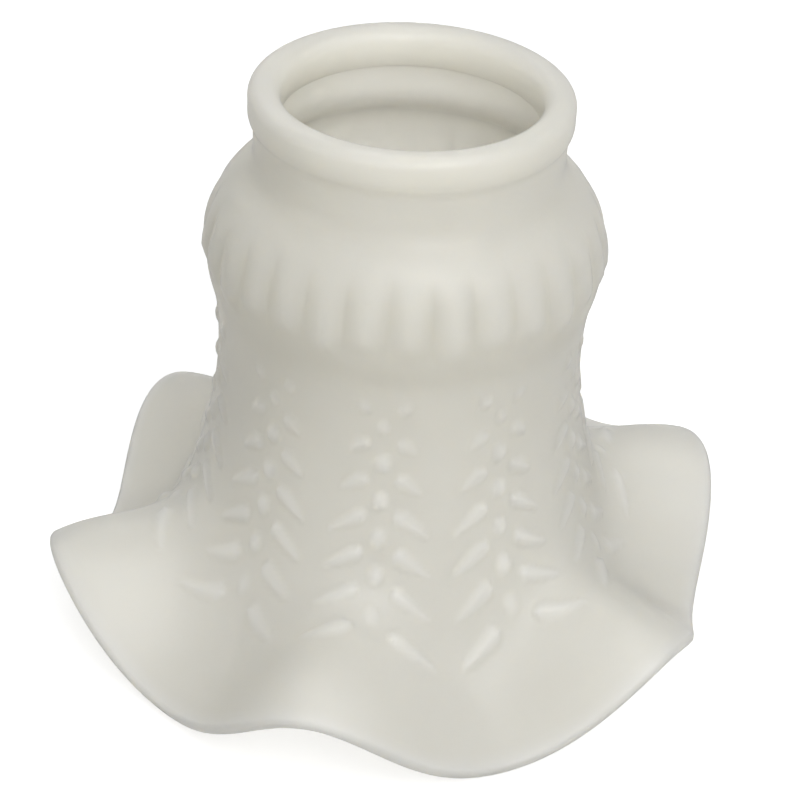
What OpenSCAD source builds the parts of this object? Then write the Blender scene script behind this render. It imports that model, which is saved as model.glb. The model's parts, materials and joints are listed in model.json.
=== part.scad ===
// Ruffled lampshade of frosted pressed glass, one piece, neck up and rim down.
// The origin is on the axis, in the middle of the lip's straight band. Depths are
// measured down from it, and turns are measured from the front, towards +X.

/* [Fitter lip] */
// Outside diameter of the lip that the lamp's screws hold
lip_d = 57.15; // [56:0.05:58]
// Height of the lip
lip_h = 6.8; // [6:0.1:7.6]
// Rounding of the lip's outer top corner
lip_round = 2.1; // [1.4:0.1:2.2]
// Rounding of the lip's inner top corner
mouth_round = 2.6; // [1.6:0.1:2.8]
// Rounding of the lip's lower corner, which flows into the neck
lip_heel = 3; // [2:0.1:3.4]

/* [Neck] */
// Outside diameter of the neck under the lip
neck_d = 55.2; // [54.4:0.1:56]
// Radius of the hollow from the lip to the neck
neck_cove = 3.5; // [2.5:0.1:4]
// Diameter of the bore that the lampholder passes through
bore_d = 45.8; // [45:0.1:46]
// Depth of the bore's lower edge
bore_depth = 3.6; // [3:0.1:4.4]
// Radius of the fillet from the neck to the shoulder
shoulder_fillet = 5.5; // [4.5:0.1:6]

/* [Glass] */
// Thickness of the glass
wall = 2.4; // [2:0.1:2.6]

/* [Bulb] */
// Diameter of the bulb at its widest
bulb_d = 73.6; // [72:0.1:76]
// Depth of the bulb's widest ring
bulb_depth = 28; // [27:0.1:29]
// Radius of the bulb's side in profile
bulb_round = 19.3; // [19:0.1:20]

/* [Flutes] */
// Height from the bottom of a groove to the top of a rib
flute_height = 1; // [0:0.05:1.4]
// Depth at which the grooves start
flute_start = 16; // [15.5:0.1:19]
// Depth of the tip of each column's middle rib
flute_end = 32; // [30:0.1:34]
// How much shorter the ribs beside it are
rib_step = 1.8; // [0:0.1:3]
// Length over which a rib rounds off to its tip
rib_tip = 3.5; // [1:0.1:5]
// Length over which the grooves run out below the ribs
groove_fade = 8; // [4:0.1:9]

/* [Bell] */
// Diameter of the bell at its waist
waist_d = 67.5; // [66:0.1:69]
// Depth of the waist
waist_depth = 45.9; // [43:0.1:48]
// Radius of the bell's side in profile
bell_round = 93; // [55:1:110]
// Roundness of the crease between the bulb and the bell
crease_blend = 0.8; // [0.4:0.1:1.2]
// Depth at which the bell ends and the flare starts
bell_depth = 65; // [63:0.1:68]

/* [Flare] */
// Mean diameter of the rim
rim_d = 129.2; // [122:0.1:136]
// Mean depth of the rim
rim_depth = 92.5; // [90:0.1:96]
// Slope of the rim, from straight down
rim_slope = 66; // [50:0.1:80]
// Pull of the curve at the top of the flare
flare_pull = 24; // [14:0.1:26]
// Pull of the curve at the rim
rim_pull = 15.6; // [8:0.1:18]

/* [Crimp] */
// Number of crimps round the rim
crimps = 6; // [4:1:8]
// How far a crest rises, and a fold drops, from the mean rim
crimp_rise = 7.5; // [0:0.1:9]
// How far a crest reaches out, and a fold draws in
crimp_reach = 3.1; // [0:0.1:5]
// Turn of the first crest
crimp_turn = 50.4; // [0:0.1:60]

/* [Forming by hand] */
// How far the crimped rim sits off the axis
rim_shift = 1.4; // [0:0.1:3]
// Direction of that shift
rim_shift_turn = 36; // [-180:1:180]
// How far the rim is out of round
rim_oval = 1.4; // [0:0.1:3]
// Direction of the long way across
rim_oval_turn = -24; // [-90:1:90]
// How far one side of the rim stands higher
rim_lean = 1; // [0:0.1:3]
// Direction of the high side
rim_lean_turn = 87; // [-180:1:180]
// How far the rim is bent over two opposite sides
rim_saddle = 1.5; // [0:0.1:3]
// Direction of the two high sides
rim_saddle_turn = -45; // [-90:1:90]
// How much stronger the crimps are on one side, as a share
crimp_uneven = 0.2; // [0:0.05:0.5]
// Direction of the stronger crimps
crimp_uneven_turn = -37; // [-180:1:180]
// How much the crests and folds are drawn out to points
crimp_point = 0.7; // [0:0.1:1.5]

/* [Leaves and beads] */
// Number of columns of leaves round the shade
columns = 10; // [8:1:10]
// Number of rows of leaves
leaf_rows = 7; // [1:1:7]
// Depth of the first row's roots
leaf_depth = 41.8; // [41:0.1:43]
// Distance from row to row, along the glass
leaf_pitch = 7.4; // [6.5:0.1:7.5]
// Height of a leaf above the glass
leaf_height = 0.8; // [0:0.05:1.2]
// Height of a bead above the glass
bead_height = 0.9; // [0:0.05:1.2]
// Turn of the first column's middle
pattern_turn = 14.8; // [-18:0.1:18]

/* [Hidden] */
frosted = [0.84, 0.83, 0.80];

lip_r = lip_d / 2;
neck_r = neck_d / 2;
bore_r = bore_d / 2;
bulb_r = bulb_d / 2;
waist_r = waist_d / 2;
// The skin ends half a wall short of the rim's round edge
rim_r = rim_d / 2 - wall / 2 * sin(rim_slope);
rim_z = -rim_depth + wall / 2 * cos(rim_slope);

// Half the lip's straight band, and the middles of the two circles under it, which touch
half_band = lip_h / 2 - lip_round;
heel_mid = [lip_r - lip_heel, -half_band];
cove_r = neck_r + neck_cove;
cove_mid = [cove_r, heel_mid[1] - sqrt(pow(lip_heel + neck_cove, 2) - pow(cove_r - heel_mid[0], 2))];
heel_end = heel_mid + (cove_mid - heel_mid) * lip_heel / (lip_heel + neck_cove);
// A hollow's piece stops this far inside the point where two circles touch, so that the
// exact solids have no face of no width there
touch_inset = 0.02;

// Middle of the circle that the bulb's side follows
bulb_mid = bulb_r - bulb_round;
// Middle of the shoulder's fillet, which touches the neck and the bulb's circle
fillet_r = neck_r + shoulder_fillet;
fillet_depth = bulb_depth - sqrt(pow(bulb_round + shoulder_fillet, 2) - pow(fillet_r - bulb_mid, 2));
// Depth and radius at which the fillet meets the bulb
fillet_share = bulb_round / (bulb_round + shoulder_fillet);
fillet_end = bulb_depth - (bulb_depth - fillet_depth) * fillet_share;
fillet_end_r = bulb_mid + (fillet_r - bulb_mid) * fillet_share;

// The turned neck ends at this depth, and the moulded shell reaches up into it
join_depth = fillet_end + 3.2;
join_overlap = 1;
join_inset = 0.03;
turned_fn = 180;

// The mesh has a step for each quarter of a flute, and three flutes to a column
flutes_per_column = 3;
steps_per_flute = 4;
steps_per_column = steps_per_flute * flutes_per_column;
steps = columns * steps_per_column;
step_turn = 360 / steps;
column_turn = 360 / columns;
// A row has four stations. A leaf takes these steps of the first three, from its root at
// the top to its tip, and a bead sits beside the tip.
stations_per_row = 4;
station_pitch = leaf_pitch / stations_per_row;
leaf_steps = [[4], [3, 2], [1]];
bead_station = 2;
// Bands of the mesh above the leaves, below them, and down the inside
bulb_bands = 9;
flare_bands = 4;
inner_bands = 7;
// The inner bands are closer together towards the rim
inner_spread = 1.25;
arc_samples = 60;
// Length over which the crease's blend sets in, below the bulb's widest ring
blend_run = 4;

// Power of a rib's rounded section where the grooves start, and how much it grows to the tip
rib_broad = 0.4;
rib_slimming = 0.4;
// Share of a groove's length over which it gets deeper
groove_run = 0.5;
// Length of a top row's leaf, and how much longer each row's is, in stations
leaf_start = 1.1;
leaf_growth = 0.6;
// Height of a top row's leaf as a share, how much it grows each row, and a tip's loss
leaf_low = 0.6;
leaf_lift = 0.14;
leaf_taper = 0.5;

// Smaller helpers
function at_turn(turn, r, z) = [r * sin(turn), -r * cos(turn), z];
function ease(x) = let (t = min(1, max(0, x))) t * t * (3 - 2 * t);
function soft_max(a, b, blend) = (a + b + sqrt(pow(a - b, 2) + blend * blend)) / 2;

// The mean outline. A place on it is its depth, and past the bell it is
// bell_depth plus the share of the flare, from 0 to 1.
function bulb_side(depth) =
    bulb_mid + sqrt(max(0.01, bulb_round * bulb_round - pow(depth - bulb_depth, 2)));
function bell_side(depth) =
    waist_r + bell_round - sqrt(bell_round * bell_round - pow(depth - waist_depth, 2));
function side_r(depth) =
    let (blend = crease_blend * ease((depth - bulb_depth) / blend_run))
    depth < bulb_depth ? bulb_side(depth) : soft_max(bulb_side(depth), bell_side(depth), blend);

bell_r = side_r(bell_depth);
bell_slope = atan((bell_depth - waist_depth) / (bell_round - (bell_r - waist_r)));
flare_points = [
    [bell_r, -bell_depth],
    [bell_r + flare_pull * sin(bell_slope), -bell_depth - flare_pull * cos(bell_slope)],
    [rim_r - rim_pull * sin(rim_slope), rim_z + rim_pull * cos(rim_slope)],
    [rim_r, rim_z]
];
function flare(t) =
    pow(1 - t, 3) * flare_points[0] + 3 * pow(1 - t, 2) * t * flare_points[1]
    + 3 * (1 - t) * t * t * flare_points[2] + pow(t, 3) * flare_points[3];
function outline(place) = place <= bell_depth ? [side_r(place), -place] : flare(place - bell_depth);

// Length along the outline, from the join to each of a row of places
places = concat(
    [for (i = [0 : arc_samples]) join_depth + (bell_depth - join_depth) * i / arc_samples],
    [for (i = [1 : arc_samples]) bell_depth + i / arc_samples]
);
lengths = [
    for (i = 0, run = 0; i < len(places);
        run = run + (i + 1 < len(places) ? norm(outline(places[i + 1]) - outline(places[i])) : 0), i = i + 1)
        run
];
length_table = [for (i = [0 : len(places) - 1]) [places[i], lengths[i]]];
place_table = [for (i = [0 : len(places) - 1]) [lengths[i], places[i]]];
outline_length = lengths[len(lengths) - 1];
first_row = lookup(leaf_depth, length_table);

// The crimp moves the rim out and up at a crest, and in and down at a fold
function crimp_wave(turn) =
    cos(crimps * (turn - crimp_turn)) * (1 + crimp_uneven * cos(turn - crimp_uneven_turn));
function rim_out(turn) =
    crimp_reach * crimp_wave(turn) + rim_shift * cos(turn - rim_shift_turn)
    + rim_oval * cos(2 * (turn - rim_oval_turn));
function rim_up(turn) =
    crimp_rise * crimp_wave(turn) + crimp_point * cos(2 * crimps * (turn - crimp_turn))
    + rim_lean * cos(turn - rim_lean_turn) + rim_saddle * cos(2 * (turn - rim_saddle_turn));

// A point of the smooth outer skin, and the direction that stands off it
function skin(turn, place) =
    let (p = outline(place), share = ease(place - bell_depth))
    at_turn(turn, p[0] + share * rim_out(turn), p[1] + share * rim_up(turn));
function skin_normal(turn, place) =
    let (
        at = min(place, bell_depth + 0.99),
        down = skin(turn, at + 0.01) - skin(turn, at - 0.01),
        round = skin(turn + 0.5, at) - skin(turn - 0.5, at),
        n = cross(round, down)
    )
    -n / norm(n);

// Which step of its column a point is on, from 0 at the middle to 6 at the bead
function column_step(j) = let (k = j % steps_per_column) min(k, steps_per_column - k);
// The ribs are the bulb's own side, and the grooves between them get deeper and wider
// downwards, until they open onto a band that rises to the bell again
function flute_relief(j, place) =
    let (
        across = pow(cos(180 * j / steps_per_flute), 2),
        down = max(0, (place - flute_start) / (flute_end - flute_start)),
        tip = flute_end - (column_step(j) > steps_per_flute / 2 ? rib_step : 0),
        rib = pow(across, rib_broad + rib_slimming * down) * ease((tip - place) / rib_tip),
        band = 1 - ease((place - flute_end + rib_tip) / groove_fade)
    )
    -flute_height * ease(down / groove_run) * (1 - rib) * band;

// A leaf is a slanting ridge that is longer and higher with each row down
function is_leaf(j, tip) =
    tip < len(leaf_steps) && len([for (k = leaf_steps[tip]) if (k == column_step(j)) k]) > 0;
function leaf_relief(j, station) =
    let (
        row = floor(station / stations_per_row),
        tip = station % stations_per_row,
        grown = min(1, max(0, leaf_start + leaf_growth * row - tip)),
        taper = 1 - leaf_taper * pow(tip / (len(leaf_steps) - 1), 2)
    )
    row < leaf_rows && is_leaf(j, tip)
        ? leaf_height * min(1, leaf_low + leaf_lift * row) * grown * taper : 0;
function bead_relief(j, station) =
    let (tip = station % stations_per_row, row = floor(station / stations_per_row))
    column_step(j) == steps_per_column / 2 && tip == bead_station && row < leaf_rows - 1
        ? bead_height : 0;

// Rings of the outer skin, from the join down to the rim
leaf_places = [
    for (i = [0 : stations_per_row * leaf_rows - 1])
        lookup(first_row + station_pitch * i, place_table)
];
leaf_end = first_row + station_pitch * (stations_per_row * leaf_rows - 1);
bulb_places = concat(
    [join_depth - join_overlap, join_depth],
    [for (i = [1 : bulb_bands - 1]) join_depth + (leaf_places[0] - join_depth) * i / bulb_bands]
);
flare_places = [
    for (i = [1 : flare_bands])
        lookup(leaf_end + (outline_length - leaf_end) * i / flare_bands, place_table)
];
function turn_of(j) = pattern_turn + step_turn * j;
function raised(j, place, height) =
    skin(turn_of(j), place) + height * skin_normal(turn_of(j), place);
outer_rings = concat(
    [for (place = bulb_places) [for (j = [0 : steps - 1])
        raised(j, place, place <= join_depth ? -join_inset : flute_relief(j, place))]],
    [for (i = [0 : len(leaf_places) - 1]) [for (j = [0 : steps - 1])
        raised(j, leaf_places[i], leaf_relief(j, i) + bead_relief(j, i))]],
    [for (place = flare_places) [for (j = [0 : steps - 1]) raised(j, place, 0)]]
);

// The rim's round edge, half a wall beyond the end of the skin
rim_place = bell_depth + 1;
edge_ring = [
    for (j = [0 : steps - 1])
        let (
            turn = turn_of(j),
            end = skin(turn, rim_place),
            n = skin_normal(turn, rim_place),
            along = end - skin(turn, rim_place - 0.02)
        )
        end - wall / 2 * n + wall / 2 * along / norm(along)
];

// Rings of the inner skin, from the rim up to the join
function place_inside(depth) = bulb_depth - (bulb_depth - depth) * bulb_round / (bulb_round - wall);
inner_places = concat(
    [for (i = [0 : inner_bands - 1])
        lookup(outline_length * (1 - pow(i / inner_bands, inner_spread)), place_table)],
    [place_inside(join_depth), place_inside(join_depth - join_overlap)]
);
inner_rings = [
    for (place = inner_places) [for (j = [0 : steps - 1])
        raised(j, place, place < join_depth ? join_inset - wall : -wall)]
];

// Every ring, and the triangles between each ring and the next
rings = concat(outer_rings, [edge_ring], inner_rings);
function corner(i, j) = (i % len(rings)) * steps + j % steps;
// A square is split along the leaf's ridge, which leans the other way past the middle
function leans_left(j) = (j % steps_per_column) < steps_per_column / 2;
faces = [
    for (i = [0 : len(rings) - 1], j = [0 : steps - 1], half = [0, 1])
        leans_left(j)
            ? (half == 0 ? [corner(i, j), corner(i, j + 1), corner(i + 1, j)]
                : [corner(i, j + 1), corner(i + 1, j + 1), corner(i + 1, j)])
            : (half == 0 ? [corner(i, j), corner(i, j + 1), corner(i + 1, j + 1)]
                : [corner(i, j), corner(i + 1, j + 1), corner(i + 1, j)])
];

module moulded_shell() {
    polyhedron(points = [for (ring = rings, p = ring) p], faces = faces, convexity = 10);
}

// Half section of the lip, with its straight band over the heel and the cove
module lip_section() {
    half_h = lip_h / 2;
    middle_w = lip_r - lip_round - bore_r - mouth_round;
    translate([lip_r - lip_round, half_band]) circle(r = lip_round, $fn = 48);
    translate([bore_r + mouth_round, half_h - mouth_round]) circle(r = mouth_round, $fn = 48);
    translate([bore_r + mouth_round, -bore_depth]) square([middle_w, bore_depth + half_h]);
    translate([bore_r, -bore_depth]) square([mouth_round, bore_depth + half_h - mouth_round]);
    translate([lip_r - lip_round, -half_band]) square([lip_round, 2 * half_band]);
    intersection() {
        translate(heel_mid) circle(r = lip_heel, $fn = 96);
        translate([neck_r - wall, heel_end[1]]) square([lip_r, heel_mid[1] - heel_end[1]]);
    }
    difference() {
        translate([neck_r - wall, cove_mid[1]])
            square([heel_end[0] - touch_inset - neck_r + wall, heel_end[1] - cove_mid[1]]);
        translate(cove_mid) circle(r = neck_cove, $fn = 96);
    }
}

// Half section of the neck and shoulder, down to the join
module neck_section() {
    difference() {
        union() {
            translate([neck_r - wall, -join_depth]) square([wall, join_depth]);
            difference() {
                translate([neck_r - wall, -fillet_end])
                    square([fillet_end_r - touch_inset - neck_r + wall, fillet_end - fillet_depth]);
                translate([fillet_r, -fillet_depth]) circle(r = shoulder_fillet, $fn = 96);
            }
            intersection() {
                translate([bulb_mid, -bulb_depth]) circle(r = bulb_round, $fn = 240);
                translate([neck_r - wall, -join_depth]) square([bulb_r, join_depth - fillet_end]);
            }
        }
        translate([bulb_mid, -bulb_depth]) circle(r = bulb_round - wall, $fn = 240);
    }
}

module turned_neck() {
    rotate_extrude($fn = turned_fn) {
        lip_section();
        neck_section();
    }
}

module glass_shade() {
    color(frosted) union() {
        turned_neck();
        moulded_shell();
    }
}

glass_shade();
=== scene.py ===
"""Crimped lampshade of frosted pressed glass, modelled round its packed frame."""

import json
import math

import bpy
import numpy as np
from mathutils import Matrix, Vector
from mathutils.kdtree import KDTree

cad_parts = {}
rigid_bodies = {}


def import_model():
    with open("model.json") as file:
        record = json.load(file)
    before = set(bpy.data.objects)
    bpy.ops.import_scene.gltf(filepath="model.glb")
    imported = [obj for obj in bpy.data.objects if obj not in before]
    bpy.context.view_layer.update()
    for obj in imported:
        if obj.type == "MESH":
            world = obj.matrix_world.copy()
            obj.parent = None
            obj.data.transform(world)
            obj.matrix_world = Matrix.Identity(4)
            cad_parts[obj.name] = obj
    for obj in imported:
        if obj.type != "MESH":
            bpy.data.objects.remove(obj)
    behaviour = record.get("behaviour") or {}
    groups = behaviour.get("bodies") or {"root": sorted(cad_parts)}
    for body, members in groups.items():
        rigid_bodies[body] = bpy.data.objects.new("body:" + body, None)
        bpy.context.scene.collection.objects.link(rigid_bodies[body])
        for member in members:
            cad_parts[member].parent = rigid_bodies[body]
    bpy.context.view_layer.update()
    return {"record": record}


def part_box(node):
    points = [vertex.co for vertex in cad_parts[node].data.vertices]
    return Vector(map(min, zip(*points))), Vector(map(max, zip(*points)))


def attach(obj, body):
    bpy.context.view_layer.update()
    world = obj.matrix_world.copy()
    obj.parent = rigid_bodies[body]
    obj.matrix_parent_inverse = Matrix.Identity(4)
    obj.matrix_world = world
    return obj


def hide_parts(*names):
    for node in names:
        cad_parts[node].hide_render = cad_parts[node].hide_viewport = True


bl_info = {
    "name": "Crimped Glass Lampshade",
    "version": (1, 0, 0),
    "blender": (4, 5, 0),
    "location": "View3D > Sidebar > Lampshade",
    "description": "Models a crimped lampshade of frosted pressed glass and its pale studio",
    "category": "Add Mesh",
}

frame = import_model()

# Sizes that the packed record and the packed glass give
MOUNTS = {mount["name"]: mount for mount in frame["record"]["mounts"]}
LIP_R = MOUNTS["fitter_lip"]["dims"]["r_mm"] / 1000
LIP_BAND = MOUNTS["fitter_lip"]["dims"]["length_mm"] / 1000
BORE_R = MOUNTS["neck_bore"]["dims"]["r_mm"] / 1000
GLASS_LOW, GLASS_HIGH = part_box("glass_shade")
MM = 0.001

# Reach of the small steps that give the skin's directions
NEAR_LENGTH = 0.15 * MM
NEAR_TURN = math.radians(0.5)
# Points closer than this are one point
MERGE_LENGTH = 0.005 * MM


# Kinds of setting

def length_of(name, description, default):
    return bpy.props.FloatProperty(
        name=name, description=description, default=default, unit="LENGTH", precision=5)


def angle_of(name, description, degrees):
    return bpy.props.FloatProperty(
        name=name, description=description, default=math.radians(degrees), subtype="ANGLE")


def share_of(name, description, default):
    return bpy.props.FloatProperty(
        name=name, description=description, default=default, min=0.0, max=1.0, subtype="FACTOR")


def count_of(name, description, default):
    return bpy.props.IntProperty(name=name, description=description, default=default, min=1)


def colour_of(name, description, default):
    return bpy.props.FloatVectorProperty(
        name=name, description=description, default=default, subtype="COLOR", min=0.0, max=1.0)


def place_of(name, description, default):
    return bpy.props.FloatVectorProperty(
        name=name, description=description, default=default, subtype="TRANSLATION",
        unit="LENGTH", precision=5)


class NeckForm(bpy.types.PropertyGroup):
    """Sizes of the fitter lip, the neck and the shoulder"""

    lip_diameter: length_of("Lip", "Outside diameter of the fitter lip", 2 * LIP_R)
    lip_height: length_of("Lip height", "Height of the lip", 2 * GLASS_HIGH.z)
    lip_round: length_of("Lip rounding", "Rounding of the lip's outer top corner",
                         GLASS_HIGH.z - LIP_BAND / 2)
    mouth_round: length_of("Mouth rounding", "Rounding of the lip's inner top corner", 2.6 * MM)
    lip_heel: length_of("Lip heel", "Rounding of the lip's lower corner", 3 * MM)
    neck_diameter: length_of("Neck", "Outside diameter of the neck", 55.2 * MM)
    neck_cove: length_of("Cove", "Radius of the hollow from the lip to the neck", 3.5 * MM)
    bore_diameter: length_of("Bore", "Diameter of the bore in the lip", 2 * BORE_R)
    bore_depth: length_of("Bore depth", "Depth of the bore's lower edge", 3.6 * MM)
    bore_edge: length_of("Bore edge", "Rounding of the bore's lower edge", 0.5 * MM)
    shoulder_fillet: length_of("Shoulder", "Radius from the neck to the shoulder", 5.5 * MM)
    inner_fillet: length_of("Inner shoulder", "Rounding of the shoulder inside", 7.6 * MM)


class BodyForm(bpy.types.PropertyGroup):
    """Sizes of the bulb, the bell and the flare"""

    wall: length_of("Wall", "Thickness of the glass", 2.4 * MM)
    bulb_diameter: length_of("Bulb", "Diameter of the bulb at its widest", 73.6 * MM)
    bulb_depth: length_of("Bulb depth", "Depth of the bulb's widest ring", 28 * MM)
    bulb_round: length_of("Bulb side", "Radius of the bulb's side in profile", 19.3 * MM)
    waist_diameter: length_of("Waist", "Diameter of the bell at its waist", 67.5 * MM)
    waist_depth: length_of("Waist depth", "Depth of the waist", 45.9 * MM)
    bell_round: length_of("Bell side", "Radius of the bell's side in profile", 93 * MM)
    crease_blend: length_of("Crease", "Roundness of the crease over the bell", 0.8 * MM)
    crease_run: length_of("Crease run", "Length over which the crease sets in", 4 * MM)
    bell_depth: length_of("Bell depth", "Depth at which the flare starts", 65 * MM)
    rim_diameter: length_of("Rim", "Mean diameter of the rim", 129.2 * MM)
    rim_depth: length_of("Rim depth", "Mean depth of the rim", 92.5 * MM)
    rim_slope: angle_of("Rim slope", "Slope of the rim from straight down", 66)
    flare_pull: length_of("Flare pull", "Pull of the curve at the top of the flare", 24 * MM)
    rim_pull: length_of("Rim pull", "Pull of the curve at the rim", 15.6 * MM)


class RimForm(bpy.types.PropertyGroup):
    """How the hot rim was crimped and bent by hand"""

    crimps: count_of("Crimps", "Number of crimps round the rim", 6)
    crimp_rise: length_of("Crimp rise", "How far a crest rises and a fold drops", 7.5 * MM)
    crimp_reach: length_of("Crimp reach", "How far a crest reaches out", 3.1 * MM)
    crimp_turn: angle_of("Crimp turn", "Turn of the first crest", 50.4)
    shift: length_of("Shift", "How far the rim sits off the axis", 1.4 * MM)
    shift_turn: angle_of("Shift turn", "Direction of the shift", 36)
    oval: length_of("Oval", "How far the rim is out of round", 1.4 * MM)
    oval_turn: angle_of("Oval turn", "Direction of the long way across", -24)
    lean: length_of("Lean", "How far one side of the rim stands higher", 1 * MM)
    lean_turn: angle_of("Lean turn", "Direction of the high side", 87)
    saddle: length_of("Saddle", "How far the rim is bent over two sides", 1.5 * MM)
    saddle_turn: angle_of("Saddle turn", "Direction of the two high sides", -45)
    uneven: share_of("Uneven crimps", "How much stronger the crimps are on one side", 0.2)
    uneven_turn: angle_of("Uneven turn", "Direction of the stronger crimps", -37)
    point: length_of("Pointed crimps", "How much crests and folds are drawn out to points", 0.7 * MM)


class PressedPattern(bpy.types.PropertyGroup):
    """The pattern that the mould presses into the glass"""

    columns: count_of("Columns", "Columns of leaves round the shade", 10)
    column_turn: angle_of("Pattern turn", "Turn of the first column's middle", 14.8)
    flutes: count_of("Flutes", "Flutes to a column", 3)
    flute_height: length_of("Flute height", "Depth of the grooves between the ribs", 1.0 * MM)
    flute_start: length_of("Flute start", "Depth at which the grooves start", 15 * MM)
    flute_end: length_of("Flute end", "Depth of the tip of each column's middle rib", 32 * MM)
    rib_step: length_of("Rib step", "How much shorter the ribs beside it are", 1.8 * MM)
    rib_tip: length_of("Rib tip", "Length over which a rib rounds off to its tip", 3.5 * MM)
    groove_run: share_of("Groove run", "Share of a groove's length over which it deepens", 0.5)
    rib_broad: share_of("Rib roundness", "Power of a rib's section where the grooves start", 0.4)
    rib_slimming: share_of("Rib slimming", "How much that power grows to the tip", 0.4)
    inner_echo: share_of("Inner echo", "How much of the grooves shows on the inside", 0.35)
    leaf_rows: count_of("Leaf rows", "Rows of leaves down the bell", 7)
    leaf_depth: length_of("Leaf depth", "Depth of the first row's roots", 41.8 * MM)
    leaf_pitch: length_of("Leaf pitch", "Distance from row to row", 7.4 * MM)
    leaf_rise: length_of("Leaf rise", "How far a full leaf's tip lies below its root", 3.7 * MM)
    leaf_start: share_of("First leaf", "Length of a top row's leaf as a share of a full one", 0.12)
    leaf_growth: share_of("Leaf growth", "How much longer the leaves get with each row down", 0.27)
    leaf_root: angle_of("Leaf root", "Turn of a leaf's root from its column's middle", 11.5)
    leaf_tip: angle_of("Leaf tip", "Turn of a leaf's tip from its column's middle", 3)
    leaf_width: length_of("Leaf width", "Width of a leaf", 3.4 * MM)
    leaf_height: length_of("Leaf height", "Height of a leaf over the glass", 0.8 * MM)
    leaf_low: share_of("Low leaves", "Height of a top row's leaf as a share of a full one", 0.6)
    leaf_lift: share_of("Leaf lift", "How much higher the leaves get with each row down", 0.14)
    leaf_slimming: share_of("Leaf slimming", "How much narrower a leaf is at its tip", 0.5)
    leaf_sinking: share_of("Leaf sinking", "How much lower a leaf is at its tip", 0.45)
    bead_drop: length_of("Bead drop", "How far a bead lies below its row's roots", 3.8 * MM)
    bead_width: length_of("Bead width", "Width of a bead", 3.2 * MM)
    bead_length: length_of("Bead length", "Length of a bead", 4.0 * MM)
    bead_height: length_of("Bead height", "Height of a bead over the glass", 0.9 * MM)
    bead_low: share_of("Low beads", "Height of the first and last beads as a share", 0.6)
    bead_small: share_of("Small beads", "Size of the first beads as a share", 0.75)


class FrostedFinish(bpy.types.PropertyGroup):
    """Colours and roughness of the acid-frosted glass"""

    glass: colour_of("Glass", "Colour of the frosted glass", (0.90, 0.875, 0.785))
    cloud: colour_of("Cloud", "Colour of the faint clouds in it", (0.86, 0.835, 0.74))
    # Painted highlight: a lighter colour on the raised leaves and beads, where light catches them
    raised: colour_of("Raised", "Colour of raised leaves and beads", (0.97, 0.95, 0.88))
    # Painted shade: a darker colour at the bottom of the grooves, where shade falls
    sunk: colour_of("Sunk", "Colour at the bottom of the grooves", (0.83, 0.80, 0.69))
    # Painted highlight: a lighter colour along the rim's thin edge
    edge: colour_of("Edge", "Colour of the rim's thin edge", (0.95, 0.93, 0.86))
    roughness: share_of("Roughness", "Roughness of the satin surface", 0.5)
    # How strongly the painted highlight on the leaves and beads shows
    relief_highlight_tint: share_of("Raised tint", "How strongly the raised colour shows", 0.7)
    # How strongly the painted shade in the grooves shows
    groove_shade_tint: share_of("Sunk tint", "How strongly the grooves' colour shows", 0.7)
    # How strongly the painted highlight along the rim shows
    rim_highlight_tint: share_of("Edge tint", "How strongly the edge's colour shows", 0.8)
    grain_gloss: share_of("Grain gloss", "How much the roughness varies with the grain", 0.12)
    grain_share: share_of("Grain share", "Share of the bumps that is fine grain", 0.35)
    bump_strength: share_of("Bump strength", "Strength of the bumps", 0.25)
    bump_height: length_of("Bump height", "Height of the bumps", 0.06 * MM)
    glow: share_of("Glow", "How much light scatters inside the glass", 1.0)
    scatter: colour_of("Scatter", "How far each colour scatters, as a share", (1.0, 0.97, 0.9))
    scatter_length: length_of("Scatter length", "How far light scatters in the glass", 14 * MM)
    clear: share_of("Clear", "How much light passes through the glass", 0.45)


class Studio(bpy.types.PropertyGroup):
    """The camera's place and the soft light"""

    camera_place: place_of("Camera", "Place of the camera", (0.58 * MM, -325.0 * MM, 155.7 * MM))
    camera_fall: angle_of("Camera fall", "How far the camera looks down", 33.83)
    camera_roll: angle_of("Camera roll", "How far the camera is rolled", 2.97)
    camera_lens: bpy.props.FloatProperty(
        name="Lens", description="Focal length on a 36 mm sensor", default=92.4, unit="CAMERA")
    floor: colour_of("Floor", "Colour of the floor", (0.55, 0.55, 0.55))
    floor_shade: colour_of("Floor shade", "Colour in which the eye sees shadows", (0.5, 0.5, 0.5))
    floor_white: share_of("Floor white", "White that the eye sees on the floor besides", 0.68)
    key_place: place_of("Key place", "Place of the large lamp in front", (0.12, -0.36, 0.33))
    key_size: length_of("Key size", "Diameter of the large lamp in front", 0.30)
    back_place: place_of("Back place", "Place of the large lamp behind", (-0.15, 0.55, 0.50))
    back_size: length_of("Back size", "Diameter of the large lamp behind", 0.45)
    ambient: bpy.props.FloatProperty(
        name="Ambient", description="Strength of the light from all round", default=0.55, min=0.0)
    back: bpy.props.FloatProperty(
        name="Back", description="Power of the large lamp behind", default=0.9,
        min=0.0, unit="POWER")
    key: bpy.props.FloatProperty(
        name="Key", description="Power of the large lamp in front", default=1.8,
        min=0.0, unit="POWER")


# The glass's outline, on depths and lengths in metres

def ease(x):
    """Smooth step from 0 to 1."""
    t = np.clip(x, 0.0, 1.0)
    return t * t * (3 - 2 * t)


def at_turn(turn, radius, z):
    """Points at turns from the front towards +X."""
    return np.stack([radius * np.sin(turn), -radius * np.cos(turn), z], axis=-1)


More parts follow.
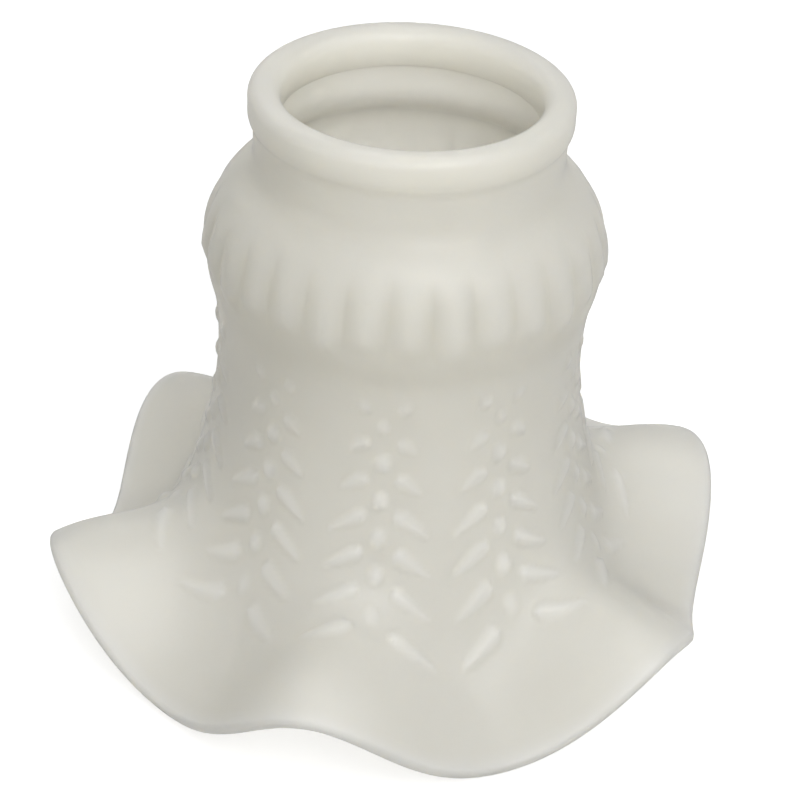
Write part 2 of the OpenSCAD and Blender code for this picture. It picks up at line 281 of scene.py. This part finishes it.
class Outline:
    """The mean outer outline from the shoulder to the rim, looked up by length along it."""

    samples = 1200
    # Keeps the bulb's root real below the bulb
    least = 1e-8

    def __init__(self, neck, body):
        self.body = body
        bulb_r = body.bulb_diameter / 2
        self.bulb_mid = bulb_r - body.bulb_round
        self.neck_r = neck.neck_diameter / 2
        self.fillet_r = self.neck_r + neck.shoulder_fillet
        reach = body.bulb_round + neck.shoulder_fillet
        drop = math.sqrt(reach ** 2 - (self.fillet_r - self.bulb_mid) ** 2)
        self.fillet_depth = body.bulb_depth - drop
        self.start_depth = body.bulb_depth - drop * body.bulb_round / reach
        depth = np.linspace(self.start_depth, body.bell_depth, self.samples)
        share = np.linspace(0, 1, self.samples)[1:]
        flare_r, flare_z = self.flare(share)
        self.r = np.concatenate([self.side(depth), flare_r])
        self.z = np.concatenate([-depth, flare_z])
        self.flared = np.concatenate([np.zeros(self.samples), share])
        steps = np.hypot(np.diff(self.r), np.diff(self.z))
        self.length = np.concatenate([[0.0], np.cumsum(steps)])
        self.end = float(self.length[-1])

    def side(self, depth, sunk=0.0):
        """Radius of the bulb and the bell, where the bulb's side is sunk by a groove."""
        body = self.body
        under = np.clip(body.bulb_round ** 2 - (depth - body.bulb_depth) ** 2,
                        self.least, None)
        bulb = self.bulb_mid + np.sqrt(under) - sunk
        bell = body.waist_diameter / 2 + body.bell_round - np.sqrt(
            body.bell_round ** 2 - (depth - body.waist_depth) ** 2)
        blend = body.crease_blend * ease((depth - body.bulb_depth) / body.crease_run)
        joined = (bulb + bell + np.sqrt((bulb - bell) ** 2 + blend ** 2)) / 2
        return np.where(depth < body.bulb_depth, bulb, joined)

    def flare(self, share):
        """Radius and height along the flare's curve."""
        body = self.body
        bell_r = float(self.side(np.array([body.bell_depth]))[0])
        waist_gap = body.bell_round - (bell_r - body.waist_diameter / 2)
        slope = math.atan2(body.bell_depth - body.waist_depth, waist_gap)
        rim_r = body.rim_diameter / 2 - body.wall / 2 * math.sin(body.rim_slope)
        rim_z = -body.rim_depth + body.wall / 2 * math.cos(body.rim_slope)
        pull, rim_pull = body.flare_pull, body.rim_pull
        handles = (
            (bell_r, -body.bell_depth),
            (bell_r + pull * math.sin(slope), -body.bell_depth - pull * math.cos(slope)),
            (rim_r - rim_pull * math.sin(body.rim_slope),
             rim_z + rim_pull * math.cos(body.rim_slope)),
            (rim_r, rim_z),
        )
        weights = ((1 - share) ** 3, 3 * (1 - share) ** 2 * share,
                   3 * (1 - share) * share ** 2, share ** 3)
        return tuple(sum(w * h[axis] for w, h in zip(weights, handles)) for axis in (0, 1))

    def at(self, length):
        """Radius, height and share of the flare at a length."""
        return tuple(np.interp(length, self.length, row) for row in (self.r, self.z, self.flared))

    def length_at(self, depth):
        """Length at a depth above the flare."""
        bell = self.samples
        return float(np.interp(depth, -self.z[:bell], self.length[:bell]))


def crimp(rim, turn):
    """How far the rim moves out and up at each turn."""
    wave = np.cos(rim.crimps * (turn - rim.crimp_turn))
    wave = wave * (1 + rim.uneven * np.cos(turn - rim.uneven_turn))
    out = (rim.crimp_reach * wave + rim.shift * np.cos(turn - rim.shift_turn)
           + rim.oval * np.cos(2 * (turn - rim.oval_turn)))
    up = (rim.crimp_rise * wave + rim.point * np.cos(2 * rim.crimps * (turn - rim.crimp_turn))
          + rim.lean * np.cos(turn - rim.lean_turn)
          + rim.saddle * np.cos(2 * (turn - rim.saddle_turn)))
    return out, up


def skin(outline, rim, turn, length):
    """Points of the smooth outer skin."""
    r, z, flared = outline.at(length)
    out, up = crimp(rim, turn)
    share = ease(flared)
    return at_turn(turn, r + share * out, z + share * up)


def skin_frame(outline, rim, turn, length):
    """Directions that stand off the outer skin and run down it."""
    step, swing = NEAR_LENGTH, NEAR_TURN
    near = np.clip(length, step, outline.end - step)
    down = skin(outline, rim, turn, near + step) - skin(outline, rim, turn, near - step)
    across = skin(outline, rim, turn + swing, near) - skin(outline, rim, turn - swing, near)
    off = np.cross(down, across)
    off /= np.linalg.norm(off, axis=-1, keepdims=True)
    down /= np.linalg.norm(down, axis=-1, keepdims=True)
    return off, down


# The pressed pattern

# Powers of the sections of a leaf and a bead, where 1 is a parabola and less is blunter
LEAF_POWER = 0.8
BEAD_POWER = 0.85
# Power of a leaf's outline at its tip, and the share of a row that its root reaches up
TIP_POWER = 3
ROOT_SHARE = 0.25
# Least half width of a leaf, so that nothing is divided by zero at its tip
LEAST_HALF = 0.01 * MM


def flute_relief(pattern, outline, turn, depth):
    """Grooves that get deeper downwards and run together under the ribs' rounded tips."""
    flute = (turn - pattern.column_turn) * pattern.columns * pattern.flutes / (2 * math.pi)
    across = np.cos(math.pi * flute) ** 2
    run = pattern.flute_end - pattern.flute_start
    down = np.clip((depth - pattern.flute_start) / run, 0, None)
    beside = np.round(flute) % pattern.flutes != 0
    tip = pattern.flute_end - np.where(beside, pattern.rib_step, 0)
    power = pattern.rib_broad + pattern.rib_slimming * down
    rib = across ** power * ease((tip - depth) / pattern.rib_tip)
    sunk = pattern.flute_height * ease(down / pattern.groove_run) * (1 - rib)
    near = np.minimum(depth, outline.body.bell_depth)
    return outline.side(near, sunk) - outline.side(near)


def leaf_relief(pattern, outline, turn, length, radius):
    """Pairs of slanting leaves, thick at the root and narrow at the tip, longer in each row."""
    column = 2 * math.pi / pattern.columns
    aside = np.abs((turn - pattern.column_turn + column / 2) % column - column / 2)
    first = outline.length_at(pattern.leaf_depth)
    row = np.floor((length - first) / pattern.leaf_pitch + ROOT_SHARE)
    row = np.clip(row, 0, pattern.leaf_rows - 1)
    below = length - first - row * pattern.leaf_pitch
    beside = (pattern.leaf_root - aside) * radius
    span = (pattern.leaf_root - pattern.leaf_tip) * radius
    size = np.hypot(span, pattern.leaf_rise)
    grown = np.minimum(pattern.leaf_start + pattern.leaf_growth * row, 1)
    along = (beside * span + below * pattern.leaf_rise) / size
    across = np.abs(beside * pattern.leaf_rise - below * span) / size
    round_r = pattern.leaf_width / 2
    reach = grown * size
    head = 1 - np.clip(-along / round_r, 0, 1) ** 2
    passed = np.clip(along / reach, 0, 1)
    tail = (1 - pattern.leaf_slimming * passed) * np.sqrt(1 - passed ** TIP_POWER)
    half = round_r * np.where(along < 0, np.sqrt(head), tail)
    dome = np.clip(1 - (across / np.maximum(half, LEAST_HALF)) ** 2, 0, 1)
    height = pattern.leaf_height * np.minimum(pattern.leaf_low + pattern.leaf_lift * row, 1)
    return height * dome ** LEAF_POWER * (1 - pattern.leaf_sinking * passed)


def bead_relief(pattern, outline, turn, length, radius):
    """Beads between the columns, each beside the tips of a row of leaves."""
    column = 2 * math.pi / pattern.columns
    aside = ((turn - pattern.column_turn) % column - column / 2) * radius
    first = outline.length_at(pattern.leaf_depth) + pattern.bead_drop
    last = pattern.leaf_rows - 2
    row = np.clip(np.round((length - first) / pattern.leaf_pitch), 0, last)
    below = length - first - row * pattern.leaf_pitch
    size = np.where(row == 0, pattern.bead_small, 1.0)
    half_width, half_length = size * pattern.bead_width / 2, size * pattern.bead_length / 2
    away = (aside / half_width) ** 2 + (below / half_length) ** 2
    height = pattern.bead_height * np.where((row == 0) | (row == last), pattern.bead_low, 1.0)
    return height * np.clip(1 - away, 0, 1) ** BEAD_POWER


# The half section that is spun

def arc(mid_r, mid_z, radius, start, stop, count):
    """Points of an arc, with angles in degrees from straight out."""
    turns = np.radians(np.linspace(start, stop, count))
    return [(mid_r + radius * math.cos(a), mid_z + radius * math.sin(a)) for a in turns]


class Section:
    """Rings of the glass from the lip down the outside, round the rim and up the inside.

    A turned ring has its radius and height. A moulded ring has its length along the
    outline, and how far it stands off the outer skin and past the rim.
    """

    # Counts of rings down the outside, round the rim's edge and up the inside
    bulb_rings = 21
    leaf_rings = 72
    flare_rings = 13
    edge_rings = 6
    inner_rings = 29
    # Counts of rings in the lip's rounding, the neck's arcs and its straight stretches
    lip_rings = 8
    arc_rings = 6
    inner_arc_rings = 9
    straight_rings = 5
    # Degrees that the edge's rings turn to either side of straight out
    edge_turn = 75
    # Power that spreads the inner rings towards the neck, and rows of dense rings over the leaves
    inner_spread = 1.1
    rows_above = 0.3

    def __init__(self, neck, body, pattern, outline):
        self.rings = []
        wall = body.wall
        self.add_outer_neck(neck, outline)
        first = outline.length_at(pattern.leaf_depth) - self.rows_above * pattern.leaf_pitch
        last = first + pattern.leaf_rows * pattern.leaf_pitch
        outer = np.concatenate([
            np.linspace(0, first, self.bulb_rings)[:-1],
            np.linspace(first, last, self.leaf_rings)[:-1],
            np.linspace(last, outline.end, self.flare_rings),
        ])
        for length in outer:
            self.add_moulded(length, 0.0, 0.0)
        for angle in np.radians(np.linspace(self.edge_turn, -self.edge_turn, self.edge_rings)):
            off = wall / 2 * (math.sin(angle) - 1)
            self.add_moulded(outline.end, off, wall / 2 * math.cos(angle))
        inner = outline.end * (1 - np.linspace(0, 1, self.inner_rings) ** self.inner_spread)
        for length in inner:
            self.add_moulded(length, -wall, 0.0)
        self.add_inner_neck(neck, body, outline)

    def add_turned(self, points):
        for r, z in points:
            self.rings.append((0, r, z, 0.0, 0.0, 0.0))

    def add_moulded(self, length, off, past):
        self.rings.append((1, 0.0, 0.0, length, off, past))

    def add_outer_neck(self, neck, outline):
        lip_r, half_h = neck.lip_diameter / 2, neck.lip_height / 2
        mid_r, mid_z = lip_r - neck.lip_round, half_h - neck.lip_round
        self.add_turned(arc(mid_r, mid_z, neck.lip_round, 90, 0, self.lip_rings))
        heel_r = lip_r - neck.lip_heel
        cove_r = outline.neck_r + neck.neck_cove
        fall = math.sqrt((neck.lip_heel + neck.neck_cove) ** 2 - (cove_r - heel_r) ** 2)
        touch = math.degrees(math.atan2(-fall, cove_r - heel_r))
        self.add_turned(arc(heel_r, -mid_z, neck.lip_heel, 0, touch, self.arc_rings))
        cove_z = -mid_z - fall
        cove = arc(cove_r, cove_z, neck.neck_cove, touch + 180, 180, self.arc_rings)
        self.add_turned(cove[1:])
        reach = outline.body.bulb_round + neck.shoulder_fillet
        bend = math.degrees(math.acos((outline.fillet_r - outline.bulb_mid) / reach))
        shoulder = arc(outline.fillet_r, -outline.fillet_depth, neck.shoulder_fillet, 180,
                       180 + bend, self.arc_rings)
        steps = np.linspace(cove_z, -outline.fillet_depth, self.straight_rings)[1:-1]
        self.add_turned([(outline.neck_r, z) for z in steps])
        self.add_turned(shoulder[:-1])

    def add_inner_neck(self, neck, body, outline):
        inner_r = outline.neck_r - body.wall
        bore_r = neck.bore_diameter / 2
        reach = body.bulb_round - body.wall
        hollow = neck.inner_fillet
        mid_r = inner_r + hollow
        rise = math.sqrt((reach + hollow) ** 2 - (mid_r - outline.bulb_mid) ** 2)
        touch = math.degrees(math.atan2(rise, mid_r - outline.bulb_mid))
        lowest = rise - body.bulb_depth
        self.add_turned(arc(mid_r, lowest, hollow, touch - 180, -180, self.inner_arc_rings))
        edge = neck.bore_edge
        rest = np.linspace(lowest, -neck.bore_depth - edge, self.straight_rings)[1:]
        self.add_turned([(inner_r, z) for z in rest])
        self.add_turned([
            (inner_r - edge, -neck.bore_depth),
            (bore_r + edge / 2, -neck.bore_depth),
            (bore_r, -neck.bore_depth + edge / 2),
        ])
        mouth = neck.mouth_round
        top = neck.lip_height / 2
        self.add_turned(arc(bore_r + mouth, top - mouth, mouth, 180, 90, self.arc_rings))

    def columns(self):
        """Whether each ring is moulded, its radius, height and length, and how far off and past."""
        moulded, r, z, length, off, past = np.array(self.rings).T
        return moulded == 1, r, z, length, off, past


def neutral_points(section, outline):
    """Radius and height of each ring before the rim is crimped."""
    moulded, r, z, length, off, past = section.columns()
    step = NEAR_LENGTH
    near = np.clip(length, step, outline.end - step)
    r0, z0, _ = outline.at(length)
    r1, z1, _ = outline.at(near - step)
    r2, z2, _ = outline.at(near + step)
    run = np.hypot(r2 - r1, z2 - z1)
    down_r, down_z = (r2 - r1) / run, (z2 - z1) / run
    moulded_r = r0 - down_z * off + down_r * past
    moulded_z = z0 + down_r * off + down_z * past
    return np.stack([np.where(moulded, moulded_r, r), np.where(moulded, moulded_z, z)], 1)


# Work in the viewport's edit mode

def deselect_all():
    """Leaves no object selected, so that an operator acts on the new piece alone."""
    for other in bpy.context.view_layer.objects:
        other.select_set(False)
    bpy.context.view_layer.objects.active = None


def draw_section(points, name):
    """Draws a closed half section at the front, point after point."""
    deselect_all()
    first_r, first_z = points[0]
    bpy.ops.mesh.primitive_plane_add(size=MM, location=(0, 0, 0))
    piece = bpy.context.active_object
    piece.name = name
    bpy.ops.object.mode_set(mode="EDIT")
    bpy.ops.mesh.select_all(action="SELECT")
    bpy.ops.mesh.merge(type="CENTER")
    bpy.ops.transform.translate(value=(0, -first_r, first_z))
    trail = list(points[1:]) + [points[0]]
    last_r, last_z = first_r, first_z
    for r, z in trail:
        bpy.ops.mesh.extrude_vertices_move(
            TRANSFORM_OT_translate={"value": (0, last_r - r, z - last_z)})
        last_r, last_z = r, z
    return piece


def spin_section(steps):
    """Spins the section in edit mode into a closed ring of glass."""
    bpy.ops.mesh.select_all(action="SELECT")
    bpy.ops.mesh.remove_doubles(threshold=MERGE_LENGTH)
    bpy.ops.mesh.select_all(action="SELECT")
    bpy.ops.mesh.spin(steps=steps, angle=2 * math.pi, center=(0, 0, 0), axis=(0, 0, 1))
    bpy.ops.mesh.select_all(action="SELECT")
    bpy.ops.mesh.remove_doubles(threshold=MERGE_LENGTH)
    bpy.ops.mesh.normals_make_consistent(inside=False)
    bpy.ops.object.mode_set(mode="OBJECT")


def read_points(mesh):
    points = np.empty(len(mesh.vertices) * 3)
    mesh.vertices.foreach_get("co", points)
    return points.reshape(-1, 3)


def ring_of_points(points, neutral):
    """Which ring of the section each point of the spun glass belongs to."""
    tree = KDTree(len(neutral))
    for index, (r, z) in enumerate(neutral):
        tree.insert((r, z, 0), index)
    tree.balance()
    radius = np.hypot(points[:, 0], points[:, 1])
    return np.array([tree.find((r, z, 0))[1] for r, z in zip(radius, points[:, 2])])


# Width of the painted highlight band along the rim's edge
RIM_HIGHLIGHT_BAND = 2 * MM


def press_and_crimp(mesh, section, neutral, outline, rim, pattern):
    """Moves the spun points to where the mould and the crimping tool put them."""
    points = read_points(mesh)
    ring = ring_of_points(points, neutral)
    moulded, _, _, length, off, past = (column[ring] for column in section.columns())
    turn = np.arctan2(points[:, 0], -points[:, 1])[moulded]
    length, off, past = length[moulded], off[moulded], past[moulded]
    radius, z, _ = outline.at(length)
    flutes = flute_relief(pattern, outline, turn, -z)
    leaves = leaf_relief(pattern, outline, turn, length, radius)
    beads = bead_relief(pattern, outline, turn, length, radius)
    raised = np.maximum(leaves, beads)
    outside = off == 0
    relief = np.where(outside, flutes + raised, pattern.inner_echo * flutes)
    normal, down = skin_frame(outline, rim, turn, length)
    moved = skin(outline, rim, turn, length)
    moved += normal * (off + relief)[:, None] + down * past[:, None]
    points[moulded] = moved
    mesh.vertices.foreach_set("co", points.ravel())
    # The raised share marks the leaves and beads for the painted highlight on them
    write_attribute(mesh, "raised", moulded, np.where(outside, raised / pattern.leaf_height, 0))
    # The sunk share marks the grooves for the painted shade in them
    write_attribute(mesh, "sunk", moulded, np.where(outside, -flutes / pattern.flute_height, 0))
    # Share near the rim's edge, for the painted highlight there
    to_edge = np.where(past > 0, 0, outline.end - length)
    write_attribute(mesh, "painted_rim_light", moulded, 1 - np.clip(to_edge / RIM_HIGHLIGHT_BAND, 0, 1))
    mesh.update()


def write_attribute(mesh, name, where, values):
    """Stores a share from 0 to 1 on the glass's points, for the finish's painted highlights and
    painted shade.
    """
    shares = np.zeros(len(mesh.vertices), np.float32)
    shares[where] = np.clip(values, 0, 1)
    mesh.attributes.new(name, "FLOAT", "POINT").data.foreach_set("value", shares)


# Finishes

class Varying:
    """A number that varies over a surface. Maths on it adds Math nodes."""

    def __init__(self, tree, socket):
        self.tree = tree
        self.socket = socket

    def maths(self, operation, first, second):
        node = self.tree.nodes.new("ShaderNodeMath")
        node.operation = operation
        for slot, value in zip(node.inputs, (first, second)):
            if isinstance(value, Varying):
                self.tree.links.new(value.socket, slot)
            else:
                slot.default_value = value
        return Varying(self.tree, node.outputs[0])

    def __add__(self, other):
        return self.maths("ADD", self, other)

    def __radd__(self, other):
        return self.maths("ADD", other, self)

    def __mul__(self, other):
        return self.maths("MULTIPLY", self, other)

    def __rmul__(self, other):
        return self.maths("MULTIPLY", other, self)


class Finish:
    """A material's node tree, with one method that adds any node."""

    def __init__(self, tree):
        self.tree = tree
        self.tree.nodes.clear()

    def add(self, kind, settings=None, **sockets):
        """Adds a node, with its settings first and then its sockets' values or links."""
        node = self.tree.nodes.new(kind)
        for name, value in (settings or {}).items():
            setattr(node, name, value)
        for name, value in sockets.items():
            slot = self.slot_of(node, name)
            if isinstance(value, Varying):
                self.tree.links.new(value.socket, slot)
            elif isinstance(value, bpy.types.NodeSocket):
                self.tree.links.new(value, slot)
            else:
                slot.default_value = value
        return node

    @staticmethod
    def slot_of(node, name):
        wanted = name.replace("_", " ")
        for slot in node.inputs:
            if slot.enabled and wanted in (slot.name, slot.identifier.replace("_", " ")):
                return slot
        raise KeyError(f"{node.bl_idname} has no socket {wanted}")

    def value(self, node, output=0):
        return Varying(self.tree, node.outputs[output])

    def noise(self, place, scale, detail, roughness):
        """Noise from 0 to 1 over the surface."""
        return self.value(self.add("ShaderNodeTexNoise", Vector=place, Scale=scale, Detail=detail,
                                   Roughness=roughness))

    def attribute(self, name):
        """A share that the mesh stores on its points."""
        return self.value(self.add("ShaderNodeAttribute", {"attribute_name": name}), "Fac")

    def mix(self, share, first, second):
        """A colour between two others."""
        node = self.add("ShaderNodeMix", {"data_type": "RGBA"}, Factor=share, A=first, B=second)
        return node.outputs["Result"]

    def mix_shaders(self, share, first, second):
        """A shader between two others."""
        node = self.add("ShaderNodeMixShader", Fac=share)
        self.tree.links.new(first.outputs[0], node.inputs[1])
        self.tree.links.new(second.outputs[0], node.inputs[2])
        return node.outputs[0]

    def add_shaders(self, first, second):
        """Two shaders together."""
        node = self.add("ShaderNodeAddShader")
        self.tree.links.new(first.outputs[0], node.inputs[0])
        self.tree.links.new(second.outputs[0], node.inputs[1])
        return node

    def seen(self):
        """1 for what the camera sees, straight, mirrored or through glass."""
        path = self.add("ShaderNodeLightPath")
        return (self.value(path, "Is Camera Ray") + self.value(path, "Is Glossy Ray")
                + self.value(path, "Is Transmission Ray"))


def solid(colour):
    """A colour with full alpha, for a node's socket."""
    return (*colour, 1.0)


# The finish's noise, with its scale per metre
CLOUDS = {"scale": 32.0, "detail": 2.0, "roughness": 0.5}
GRAIN = {"scale": 2600.0, "detail": 3.0, "roughness": 0.6}
WAVES = {"scale": 150.0, "detail": 1.0, "roughness": 0.4}
# Between these values of their noise, the clouds fade in
CLOUD_LOW, CLOUD_HIGH = 0.35, 0.65
GLASS_IOR = 1.5


def frosted_glass(finish):
    """Satin acid-frosted glass with faint clouds and a fine grain, with painted highlights on the
    raised leaves, beads and rim edge and painted shade in the grooves.
    """
    material = bpy.data.materials.new("frosted_glass")
    material.use_nodes = True
    nodes = Finish(material.node_tree)
    place = nodes.add("ShaderNodeTexCoord").outputs["Object"]
    clouds = nodes.noise(place, **CLOUDS)
    grain = nodes.noise(place, **GRAIN)
    waves = nodes.noise(place, **WAVES)
    cloud_share = nodes.add("ShaderNodeMapRange", Value=clouds, From_Min=CLOUD_LOW,
                            From_Max=CLOUD_HIGH)
    colour = nodes.mix(nodes.value(cloud_share), solid(finish.glass), solid(finish.cloud))
    # Painted highlight on the raised leaves and beads, painted shade at the bottom of the grooves
    # and painted highlight along the rim's edge
    for name, tint, other in (("raised", finish.relief_highlight_tint, finish.raised),
                              ("sunk", finish.groove_shade_tint, finish.sunk),
                              ("painted_rim_light", finish.rim_highlight_tint, finish.edge)):
        colour = nodes.mix(nodes.attribute(name) * tint, colour, solid(other))
    rough = finish.roughness - finish.grain_gloss / 2 + grain * finish.grain_gloss
    height = grain * finish.grain_share + waves * (1 - finish.grain_share)
    bump = nodes.add("ShaderNodeBump", Strength=finish.bump_strength,
                     Distance=finish.bump_height, Height=height)
    shader = nodes.add(
        "ShaderNodeBsdfPrincipled", Base_Color=colour, Roughness=rough, Normal=bump.outputs[0],
        IOR=GLASS_IOR, Transmission_Weight=finish.clear, Subsurface_Weight=finish.glow,
        Subsurface_Radius=finish.scatter, Subsurface_Scale=finish.scatter_length)
    nodes.add("ShaderNodeOutputMaterial", Surface=shader.outputs[0])
    return material


class LAMPSHADE_OT_press_glass(bpy.types.Operator):
    """Spin, crimp and press the lampshade's single piece of frosted glass"""

    bl_idname = "lampshade.press_glass"
    bl_label = "Press the Glass"
    bl_options = {"REGISTER", "UNDO"}

    # Steps of the spin round the axis
    steps = 510

    def execute(self, context):
        scene = context.scene
        neck, body, pattern = scene.shade_neck, scene.shade_body, scene.shade_pattern
        outline = Outline(neck, body)
        section = Section(neck, body, pattern, outline)
        neutral = neutral_points(section, outline)
        piece = draw_section(neutral, "pressed_glass_shade")
        spin_section(self.steps)
        press_and_crimp(piece.data, section, neutral, outline, scene.shade_rim, pattern)
        piece.data.materials.append(frosted_glass(scene.shade_finish))
        bpy.ops.object.shade_smooth()
        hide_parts("glass_shade")
        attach(piece, "root")
        return {"FINISHED"}


# The stage

WHITE = (1.0, 1.0, 1.0, 1.0)
FLOOR_SIZE = 12.0
# The floor lies just under the rim's lowest point
FLOOR_GAP = 0.2 * MM
NEAREST_SEEN = 10 * MM


def stage_material(studio):
    """Pale floor that stays white to the eye and keeps a faint shadow."""
    material = bpy.data.materials.new("studio_floor")
    material.use_nodes = True
    nodes = Finish(material.node_tree)
    plain = nodes.add("ShaderNodeBsdfDiffuse", Color=solid(studio.floor))
    dimmed = nodes.add("ShaderNodeBsdfDiffuse", Color=solid(studio.floor_shade))
    white = nodes.add("ShaderNodeEmission", Color=WHITE, Strength=studio.floor_white)
    bright = nodes.add_shaders(dimmed, white)
    shader = nodes.mix_shaders(nodes.seen(), plain, bright)
    nodes.add("ShaderNodeOutputMaterial", Surface=shader)
    return material


def light_world(ambient):
    """Even light from all round, with white behind it to the eye."""
    world = bpy.data.worlds.new("studio_world")
    world.use_nodes = True
    nodes = Finish(world.node_tree)
    soft = nodes.add("ShaderNodeBackground", Color=WHITE, Strength=ambient)
    white = nodes.add("ShaderNodeBackground", Color=WHITE, Strength=1.0)
    shader = nodes.mix_shaders(nodes.seen(), soft, white)
    nodes.add("ShaderNodeOutputWorld", Surface=shader)
    bpy.context.scene.world = world


def add_lamp(name, place, target, size, power):
    """A large soft lamp that looks at a point."""
    deselect_all()
    bpy.ops.object.light_add(type="AREA", location=place)
    lamp = bpy.context.active_object
    lamp.name = name
    lamp.data.shape = "DISK"
    lamp.data.size = size
    lamp.data.energy = power
    lamp.rotation_euler = (Vector(target) - Vector(place)).to_track_quat("-Z", "Y").to_euler()


class LAMPSHADE_OT_set_stage(bpy.types.Operator):
    """Lay the pale floor, light it softly and set the camera where the photograph was taken"""

    bl_idname = "lampshade.set_stage"
    bl_label = "Set the Stage"
    bl_options = {"REGISTER", "UNDO"}

    def execute(self, context):
        studio = context.scene.shade_studio
        deselect_all()
        bpy.ops.mesh.primitive_plane_add(size=FLOOR_SIZE, location=(0, 0, GLASS_LOW.z - FLOOR_GAP))
        floor = context.active_object
        floor.name = "studio_floor"
        floor.data.materials.append(stage_material(studio))
        light_world(studio.ambient)
        middle = (GLASS_LOW + GLASS_HIGH) / 2
        add_lamp("key_lamp", studio.key_place, middle, studio.key_size, studio.key)
        add_lamp("back_lamp", studio.back_place, middle, studio.back_size, studio.back)
        self.place_camera(context, studio)
        context.scene.view_settings.view_transform = "Standard"
        return {"FINISHED"}

    @staticmethod
    def place_camera(context, studio):
        bpy.ops.object.camera_add(location=studio.camera_place)
        camera = context.active_object
        camera.name = "photo_camera"
        camera.data.lens = studio.camera_lens
        camera.data.clip_start = NEAREST_SEEN
        fall, roll = studio.camera_fall, studio.camera_roll
        level = Vector((1, 0, 0))
        upright = Vector((0, math.sin(fall), math.cos(fall)))
        ahead = Vector((0, math.cos(fall), -math.sin(fall)))
        right = math.cos(roll) * level + math.sin(roll) * upright
        up = math.cos(roll) * upright - math.sin(roll) * level
        turned = Matrix((right, up, -ahead)).transposed()
        camera.rotation_euler = turned.to_euler()
        context.scene.camera = camera


class LAMPSHADE_PT_sidebar(bpy.types.Panel):
    """Lists the lampshade's operators and settings"""

    bl_label = "Crimped Glass Lampshade"
    bl_idname = "LAMPSHADE_PT_sidebar"
    bl_space_type = "VIEW_3D"
    bl_region_type = "UI"
    bl_category = "Lampshade"

    def draw(self, context):
        layout = self.layout
        for operator in OPERATORS:
            layout.operator(operator.bl_idname)
        for slot, group in SETTINGS.items():
            box = layout.box()
            box.label(text=group.__doc__)
            for name in group.__annotations__:
                box.prop(getattr(context.scene, slot), name)


SETTINGS = {
    "shade_neck": NeckForm,
    "shade_body": BodyForm,
    "shade_rim": RimForm,
    "shade_pattern": PressedPattern,
    "shade_finish": FrostedFinish,
    "shade_studio": Studio,
}
OPERATORS = (LAMPSHADE_OT_press_glass, LAMPSHADE_OT_set_stage)


def register():
    for group in (*SETTINGS.values(), *OPERATORS, LAMPSHADE_PT_sidebar):
        bpy.utils.register_class(group)
    for slot, group in SETTINGS.items():
        setattr(bpy.types.Scene, slot, bpy.props.PointerProperty(type=group))


def unregister():
    for slot in SETTINGS:
        delattr(bpy.types.Scene, slot)
    for group in reversed((*SETTINGS.values(), *OPERATORS, LAMPSHADE_PT_sidebar)):
        bpy.utils.unregister_class(group)


def main():
    register()
    bpy.ops.lampshade.press_glass()
    bpy.ops.lampshade.set_stage()


if __name__ == "__main__":
    main()
